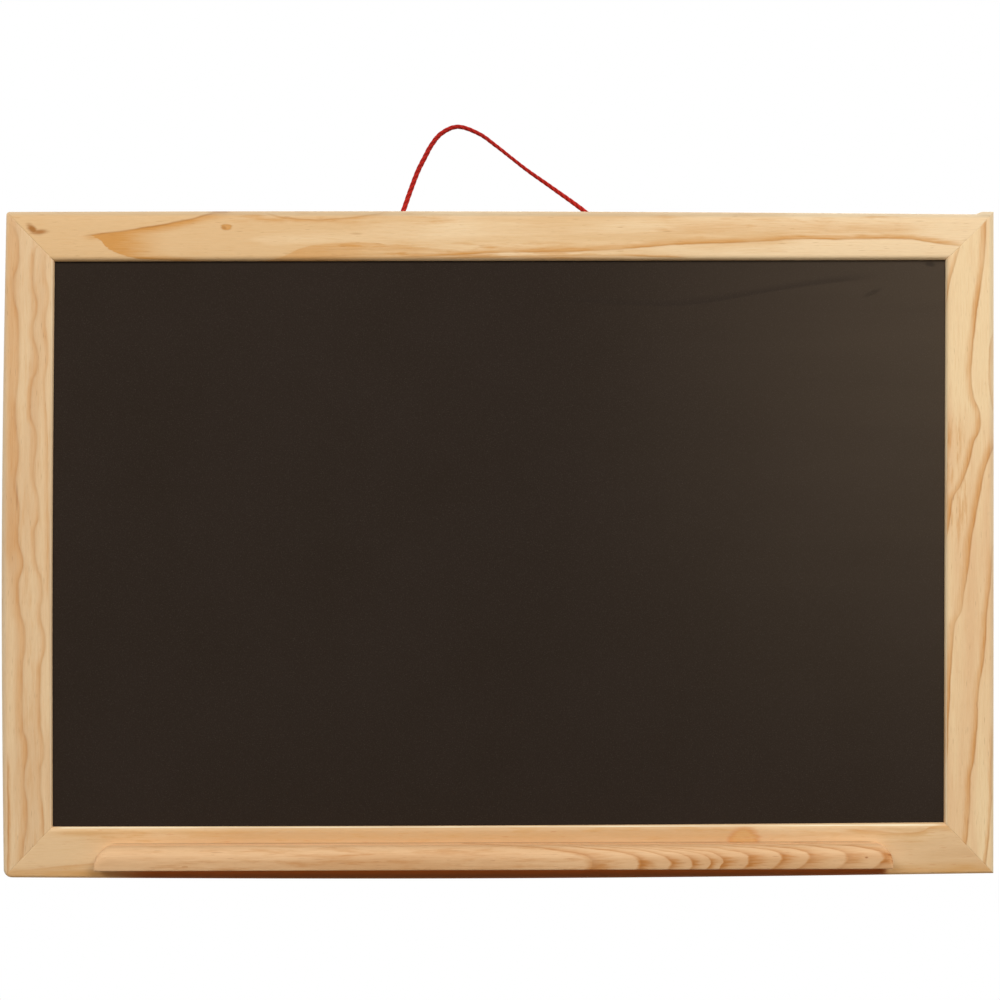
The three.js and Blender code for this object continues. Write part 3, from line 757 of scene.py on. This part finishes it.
def arc(middle, radius, start, end, steps=6):
    """Points round a circle from one angle to another, in degrees"""
    turns = [math.radians(start + (end - start) * step / steps) for step in range(steps + 1)]
    return [(middle[0] + radius * math.cos(turn), middle[1] + radius * math.sin(turn)) for turn in turns]


def blend(start, end, share):
    return start + (end - start) * share


# Places near each end of a frame side and of the ledge, and the step between the places from there on
SIDE_END = (0, 0.25, 0.5, 1, 1.5, 2, 2.5, 3, 3.5, 4, 5, 6, 7, 8, 9, 10, 11, 12, 14, 17, 20, 25)
LEDGE_END = (0, 0.1, 0.25, 0.5, 0.8, 1.2, 1.6, 2, 2.5, 3, 3.5, 4, 5, 6, 7, 8, 9, 10, 12, 15)
PLACE_STEP = 10


def stations(length, ends):
    """Places along a piece of a length: the given ones near its ends, and even ones between them"""
    count = round((length - 2 * ends[-1]) / PLACE_STEP)
    middle = [ends[-1] + (length - 2 * ends[-1]) * step / count for step in range(1, count)]
    return [*ends, *middle, *(length - place for place in reversed(ends))]


def side_section(width, groove):
    """Round one frame side's section: distances from its outer edge, and depths"""
    front = -THICKNESS + groove
    return [
        *arc((BACK_EDGE, -BACK_EDGE), BACK_EDGE, 90, 180, 3),
        *arc((OUTER_EDGE, front + OUTER_EDGE), OUTER_EDGE, 180, 270),
        (width / 3, front),
        (2 * width / 3, front),
        *arc((width - INNER_EDGE, front + INNER_EDGE), INNER_EDGE, 270, 360),
        (width, -THICKNESS + LIP),
        (width - REBATE, -THICKNESS + LIP),
        (width - REBATE, 0),
    ]


def rounded_corner(x, z, corner_x, corner_z, radius):
    """Moves a point near a corner of the frame's outline so that the corner is round"""
    aside = abs(x - corner_x)
    up = abs(z - corner_z)
    if aside >= radius or up >= radius:
        return x, z
    square = max(radius - aside, radius - up)
    share = square / math.hypot(radius - aside, radius - up)
    inward_x = math.copysign(1, -corner_x)
    inward_z = math.copysign(1, MIDDLE - corner_z)
    return (
        corner_x + inward_x * (radius - (radius - aside) * share),
        corner_z + inward_z * (radius - (radius - up) * share),
    )


def tip_rise(x, z):
    """How far a point near the mitre tip that was left on is pulled up"""
    share = (x - (HALF - TIP_LENGTH - TIP_SLOPE)) / TIP_SLOPE
    share = min(1, max(0, share))
    return TIP_RISE * share * share * (3 - 2 * share) * max(0, z - TOP + TIP_DEPTH) / TIP_DEPTH


# The photographed frame isn't quite square: its corners, with how far each one is off
OUTER = {
    "bottom_left": (-HALF + 0.6, FOOT - 0.8),
    "bottom_right": (HALF, FOOT),
    "top_right": (HALF + 0.8, TOP),
    "top_left": (-HALF + 1.5, TOP),
}
INNER = {
    "bottom_left": (STILE - HALF - 0.3, FOOT + BOTTOM_RAIL - 1.0),
    "bottom_right": (HALF - STILE + 0.1, FOOT + BOTTOM_RAIL + 0.2),
    "top_right": (HALF - STILE + 1.6, TOP - TOP_RAIL + TOP_TAPER - 0.3),
    "top_left": (STILE - HALF + 0.4, TOP - TOP_RAIL - 0.3),
}


def mitre_point(corner, inward):
    """A point on a mitre, by its share of the way from the outer corner to the inner one"""
    return [blend(outer, inner, inward) for outer, inner in zip(OUTER[corner], INNER[corner])]


def frame_side(name, start, end, widths, material, bow=0.0, inner_bow=0.0):
    """One side of the frame, mitred from one corner to another, its two edges bowed outwards"""
    length = math.dist(OUTER[start], OUTER[end])
    level = abs(OUTER[start][0] - OUTER[end][0]) > HALF
    rings = []
    for place in stations(length - 2 * MITRE_GAP, SIDE_END):
        share = (place + MITRE_GAP) / length
        near = min(place, length - 2 * MITRE_GAP - place)
        width = blend(*widths, share)
        groove = MITRE_GROOVE * max(0, 1 - near / MITRE_GROOVE_REACH)
        ring = []
        for distance, depth in side_section(width, groove):
            inward = distance / width
            first = mitre_point(start, inward)
            last = mitre_point(end, inward)
            x = blend(first[0], last[0], share)
            z = blend(first[1], last[1], share)
            swell = blend(bow, inner_bow, inward) * math.sin(math.pi * share)
            if level:
                z += math.copysign(swell, OUTER[start][1])
            else:
                x += math.copysign(swell, OUTER[start][0])
            x, z = rounded_corner(x, z, *OUTER["bottom_left"], FOOT_CORNER)
            x, z = rounded_corner(x, z, *OUTER["top_left"], TOP_CORNER)
            ring.append((x, depth, z + tip_rise(x, z)))
        rings.append(ring)
    piece = show(f"{name}_pine", *skin(rings), material, "board", "frame_wood", name)
    return piece, start, end


# The slots and holes behind, in which the CAD part's strips and screws sit
WEDGE_THICKNESS = 0.6
SCREW_HEAD = 3.5
SCREW_HEAD_HEIGHT = 2.1
SCREW_SHANK = 1.75
HOLE_SIDES = 24
DRIVEN_GAP = 0.3
OVERRUN = 2


def nodes_named(*starts):
    """The names of the CAD pieces that start in one of these ways"""
    return [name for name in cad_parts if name.startswith(starts)]


def node_box(name):
    """The lowest and the highest corner of a CAD piece, in millimetres"""
    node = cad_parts[name]
    corners = [node.matrix_world @ Vector(corner) / MM for corner in node.bound_box]
    return [[pick(corner[axis] for corner in corners) for axis in range(3)] for pick in (min, max)]


def wedge_slot(name):
    """The slot round a driven strip, whose two arms point towards the board's middle"""
    low, high = node_box(name)
    inward_x = math.copysign(1, -low[0])
    inward_z = math.copysign(1, MIDDLE - low[2])
    bend_x = low[0] if inward_x > 0 else high[0]
    bend_z = low[2] if inward_z > 0 else high[2]
    edge = -DRIVEN_GAP
    arm = high[0] - low[0] + DRIVEN_GAP
    wide = WEDGE_THICKNESS + DRIVEN_GAP
    outline = [(edge, edge), (arm, edge), (arm, wide), (wide, wide), (wide, arm), (edge, arm)]
    return skin([
        [(bend_x + inward_x * x, y, bend_z + inward_z * z) for x, z in outline]
        for y in (low[1] - DRIVEN_GAP, OVERRUN)
    ])


def screw_hole(name):
    """A countersunk hole round a screw's head, with the start of the shank's hole"""
    low, high = node_box(name)
    x = (low[0] + high[0]) / 2
    z = (low[2] + high[2]) / 2
    neck = high[1] - SCREW_HEAD_HEIGHT
    sizes = [
        (neck - OVERRUN, SCREW_SHANK + DRIVEN_GAP),
        (neck, SCREW_SHANK + DRIVEN_GAP),
        (high[1], SCREW_HEAD + DRIVEN_GAP),
        (OVERRUN, SCREW_HEAD + DRIVEN_GAP),
    ]
    rings = []
    for y, radius in sizes:
        circle = arc((x, z), radius, 0, 360 - 360 / HOLE_SIDES, HOLE_SIDES - 1)
        rings.append([(across, y, up) for across, up in circle])
    return skin(rings)


def frame_sides():
    top = (TOP_RAIL, TOP_RAIL - TOP_TAPER)
    bottom = (BOTTOM_RAIL, BOTTOM_RAIL)
    stile = (STILE, STILE)
    sides = [
        frame_side("top_rail", "top_left", "top_right", top, top_rail_wood(), 1.1),
        frame_side("bottom_rail", "bottom_left", "bottom_right", bottom, bottom_rail_wood(), 1.9, 0.6),
        frame_side("left_stile", "bottom_left", "top_left", stile, left_stile_wood(), 2.0, 0.7),
        frame_side("right_stile", "bottom_right", "top_right", stile, right_stile_wood(), 0.1),
    ]
    for piece, start, end in sides:
        for name in nodes_named(f"corner_wedge_{start}", f"corner_wedge_{end}"):
            cut_out(piece, *wedge_slot(name))
    for name in nodes_named("ledge_screw"):
        cut_out(bpy.data.objects["bottom_rail_pine"], *screw_hole(name))


def drop(distance, radius):
    """How far a rounded corner falls short of a square one, at a distance from its end"""
    if distance >= radius:
        return 0.0
    return radius - math.sqrt(radius**2 - (radius - distance) ** 2)


# The most that the ledge's rounded top edge takes of its height, where its ends are low
TOP_EDGE_SHARE = 0.8


def chalk_ledge():
    back = -THICKNESS
    rings = []
    for place in stations(LEDGE_LENGTH, LEDGE_END):
        left = place
        right = LEDGE_LENGTH - place
        x = LEDGE_SHIFT - LEDGE_LENGTH / 2 + place
        height = LEDGE_THICKNESS - drop(left, LEDGE_LEFT_CORNER) - drop(right, LEDGE_RIGHT_CORNER)
        front = back - LEDGE_DEPTH + drop(min(left, right), LEDGE_END_EDGE)
        top_edge = min(LEDGE_TOP_EDGE, TOP_EDGE_SHARE * height)
        section = [
            (back, 0),
            *arc((front + LEDGE_FOOT_EDGE, LEDGE_FOOT_EDGE), LEDGE_FOOT_EDGE, 270, 180, 3),
            *arc((front + top_edge, height - top_edge), top_edge, 180, 90, 10),
            (back, height),
        ]
        rings.append([(x, y, LEDGE_FOOT + z) for y, z in section])
    return show("chalk_ledge_pine", *skin(rings), ledge_wood(), "board", "ledge_wood", "chalk_ledge")


# Cord

# The cord's way from knot to knot in metres, seen from the front: across, and up from the eyes' axis
CORD_ROUTE = (
    (-0.0732, 0), (-0.0714, 0), (-0.0699, 0), (-0.0674, 0.0004), (-0.0652, 0.0015), (-0.0634, 0.0033),
    (-0.0624, 0.0053), (-0.0607, 0.0099), (-0.0591, 0.0145), (-0.0542, 0.0284), (-0.0499, 0.0395),
    (-0.0461, 0.0470), (-0.0422, 0.0543), (-0.0360, 0.0618), (-0.0261, 0.0661), (-0.0126, 0.0618),
    (-0.0021, 0.0544), (0.0072, 0.0471), (0.0167, 0.0397), (0.0325, 0.0286), (0.0516, 0.0148),
    (0.0588, 0.0084), (0.0660, 0.0019), (0.0675, 0.0009), (0.0692, 0.0002), (0.0710, 0), (0.0732, 0),
)


def on_curve(points, times, now):
    """The point at a time on a smooth curve through four points, which it passes at their times"""
    first = [
        points[i].lerp(points[i + 1], (now - times[i]) / (times[i + 1] - times[i])) for i in range(3)
    ]
    second = [
        first[i].lerp(first[i + 1], (now - times[i]) / (times[i + 2] - times[i])) for i in range(2)
    ]
    return second[0].lerp(second[1], (now - times[1]) / (times[2] - times[1]))


def smooth_way(points, step):
    """Points a step apart on a smooth curve through the given ones"""
    spare = [2 * points[0] - points[1], *points, 2 * points[-1] - points[-2]]
    way = []
    for four in zip(spare, spare[1:], spare[2:], spare[3:]):
        times = [0.0]
        for start, end in zip(four, four[1:]):
            times.append(times[-1] + math.sqrt((end - start).length))
        count = max(1, round((four[2] - four[1]).length / step))
        way += [on_curve(four, times, blend(times[1], times[2], index / count)) for index in range(count)]
    way.append(points[-1])
    return way


# The cord's strands, the length of one turn of them, and how finely its surface is drawn
STRANDS = 3
LAY_LENGTH = 12
CORD_SIDES = 24
CORD_STEP = 0.4
KNOT_STEP = 0.5

# The cord's radius as a share of the nominal one: least at one place across, and full at a distance from it
CORD_LEAST_AT = 8
CORD_FULL_AFTER = 55
CORD_LEAST = 0.86
CORD_FULL = 1.22

# The dips between strands: how deep as a share of the radius, how sharp, and how narrow the painted shade in
# them
DIP_DEPTH = 0.16
DIP_POWER = 0.7
GROOVE_SHADE_RATE = 1.5


def twisted_tube(way, radius):
    """Rings of points round a way in millimetres, shaped as strands that turn about it"""
    rings = []
    groove_shades = []
    along = 0.0
    side = Vector((0, 1, 0.01))
    for index, place in enumerate(way):
        ahead = (way[min(index + 1, len(way) - 1)] - way[max(index - 1, 0)]).normalized()
        if index:
            along += (place - way[index - 1]).length
        side = (side - ahead * ahead.dot(side)).normalized()
        other = ahead.cross(side)
        turn = 2 * math.pi * along / LAY_LENGTH
        swell = radius * blend(CORD_LEAST, CORD_FULL, min(1, abs(place.x - CORD_LEAST_AT) / CORD_FULL_AFTER))
        ring = []
        for step in range(CORD_SIDES):
            angle = 2 * math.pi * step / CORD_SIDES
            lobe = abs(math.cos(STRANDS / 2 * (angle - turn)))
            out = swell * blend(1 - DIP_DEPTH, 1, lobe**DIP_POWER)
            ring.append(place + side * out * math.cos(angle) + other * out * math.sin(angle))
            # Painted shade, deepest where the strands dip
            groove_shades.append(max(0.0, 1 - lobe * GROOVE_SHADE_RATE))
        rings.append(ring)
    return rings, groove_shades


def cord_piece(name, ways, radius, material, node):
    """One or more twisted tubes as one piece, riding on the hanging loop"""
    points = []
    faces = []
    groove_shades = []
    for way in ways:
        rings, groove_shade = twisted_tube(way, radius)
        more_points, more_faces = skin(rings)
        faces += [tuple(corner + len(points) for corner in face) for face in more_faces]
        points += more_points
        groove_shades += groove_shade
    piece = show(name, points, faces, material, "hanging_loop", "cord", node)
    attribute = piece.data.attributes.new("groove_shade", "FLOAT", "POINT")
    attribute.data.foreach_set("value", groove_shades)
    return piece


# A stopper knot's turns round the cord: how many, how wide, and where they start and end along it
KNOT_TURNS = 2.15
KNOT_TURN_RADIUS = 2.35
KNOT_TURNS_START = 1.4
KNOT_TURNS_END = 4.5
KNOT_STEPS = 60

# The share of their radius at which the turns tuck in, and how quickly they come out of it
KNOT_TUCK = 0.45
KNOT_TUCK_RATE = 6


def knot_ways(outward):
    """A stopper knot: the cord runs through two turns of itself and ends in a short tail.
    Its points are measured along the cord, backwards and upwards from the knot's start"""
    wrap = []
    for step in range(KNOT_STEPS + 1):
        share = step / KNOT_STEPS
        angle = 2 * math.pi * KNOT_TURNS * share
        out = min(1, KNOT_TUCK_RATE * share, KNOT_TUCK_RATE * (1 - share))
        radius = KNOT_TURN_RADIUS * blend(KNOT_TUCK, 1, out)
        along = blend(KNOT_TURNS_START, KNOT_TURNS_END, share)
        wrap.append((along, radius * math.cos(angle), radius * math.sin(angle)))
    run = [
        (0, 0, 0), (3, 0, 0), (KNOT_LENGTH, 0.1, -0.1), (9, 0.2, -0.5), (11, 0.1, -0.9),
        (KNOT_LENGTH + KNOT_TAIL - 0.1, 0, -1.2),
    ]
    ways = []
    for points in (wrap, run):
        placed = [
            Vector((outward * (KNOT_PLACE + along), EYE_DEPTH + back, EYE_HEIGHT + up))
            for along, back, up in points
        ]
        ways.append(smooth_way(placed, KNOT_STEP))
    return ways


def hanging_cord():
    material = cord_fibre()
    route = [Vector((x, EYE_DEPTH * MM, EYE_HEIGHT * MM + up)) / MM for x, up in CORD_ROUTE]
    way = smooth_way(route, CORD_STEP)
    radius = CORD_DIAMETER / 2
    cord = cord_piece("hanging_cord_twisted", [way], radius, material, "hanging_cord")
    knots = [
        cord_piece(f"cord_knot_{side}_tied", knot_ways(outward), radius, material, f"cord_knot_{side}")
        for side, outward in (("left", -1), ("right", 1))
    ]


# What the CAD part gives as it is

def dress_cad_nodes():
    looks = {
        "writing_panel": (panel_paint(), "board_paint"),
        "corner_wedge": (metal("steel_strip", (176, 178, 180), 0.42), "steel"),
        "panel_point": (metal("steel_point", (182, 182, 180), 0.38), "steel"),
        "ledge_screw": (metal("zinc_screw", (206, 200, 180), 0.34), "zinc"),
        "screw_eye": (metal("zinc_eye", (204, 200, 186), 0.3), "zinc"),
    }
    for name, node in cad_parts.items():
        for start, (material, slot) in looks.items():
            if name.startswith(start):
                node.data.materials.clear()
                node.data.materials.append(material)


# Studio

# Where every lamp points
LAMP_AIM = (0, 0, 0.2)


def make_lamp(name, place, size, power):
    light = bpy.data.lights.new(name, "AREA")
    light.shape = "RECTANGLE"
    light.size, light.size_y = size
    light.energy = power
    lamp = bpy.data.objects.new(name, light)
    bpy.context.collection.objects.link(lamp)
    lamp.location = place
    lamp.rotation_euler = (Vector(LAMP_AIM) - Vector(place)).to_track_quat("-Z", "Y").to_euler()


def make_lamps():
    make_lamp("key", (1.1, -2.3, 2.05), (1.8, 1.2), power=71.5)
    make_lamp("fill", (-1.4, -2.4, 1.95), (1.8, 1.2), power=43.5)
    make_lamp("left", (-2.4, 0.5, 1.0), (1.4, 1.2), power=26)
    make_lamp("right", (2.4, 0.5, 1.0), (1.4, 1.2), power=26)
    make_lamp("back", (0.7, 2.4, 1.9), (2.0, 1.4), power=72)


def make_world():
    """White where it is seen, also in metal, and a dim warm light from all round"""
    world = bpy.data.worlds.new("studio")
    bpy.context.scene.world = world
    world.use_nodes = True
    tree = world.node_tree
    tree.nodes.clear()
    lit = tree.nodes.new("ShaderNodeBackground")
    lit.inputs["Color"].default_value = (1.0, 0.9, 0.78, 1)
    lit.inputs["Strength"].default_value = 0.12
    seen = tree.nodes.new("ShaderNodeBackground")
    seen.inputs["Color"].default_value = (1, 1, 1, 1)
    seen.inputs["Strength"].default_value = 1.0
    ray = tree.nodes.new("ShaderNodeLightPath")
    is_seen = ray.outputs["Is Camera Ray"]
    for kind in ("Is Glossy Ray", "Is Transmission Ray"):
        either = tree.nodes.new("ShaderNodeMath")
        either.operation = "MAXIMUM"
        tree.links.new(is_seen, either.inputs[0])
        tree.links.new(ray.outputs[kind], either.inputs[1])
        is_seen = either.outputs[0]
    mix = tree.nodes.new("ShaderNodeMixShader")
    tree.links.new(is_seen, mix.inputs[0])
    tree.links.new(lit.outputs[0], mix.inputs[1])
    tree.links.new(seen.outputs[0], mix.inputs[2])
    out = tree.nodes.new("ShaderNodeOutputWorld")
    tree.links.new(mix.outputs[0], out.inputs[0])


# The floor's half width and its height, in metres: far enough below to stay out of the main picture
FLOOR_REACH = 2.5
FLOOR_HEIGHT = -2.2


def make_floor():
    mesh = bpy.data.meshes.new("floor")
    corners = [
        (x * FLOOR_REACH, y * FLOOR_REACH, FLOOR_HEIGHT) for x, y in ((-1, -1), (1, -1), (1, 1), (-1, 1))
    ]
    mesh.from_pydata(corners, [], [(0, 1, 2, 3)])
    mesh.materials.append(Look("floor").finish(tint(222, 214, 202), 0.8))
    floor = bpy.data.objects.new("floor", mesh)
    bpy.context.collection.objects.link(floor)


make_camera()
hanging_cord()
frame_sides()
chalk_ledge()
dress_cad_nodes()
make_lamps()
make_world()
make_floor()
bpy.context.scene.view_settings.view_transform = "Standard"
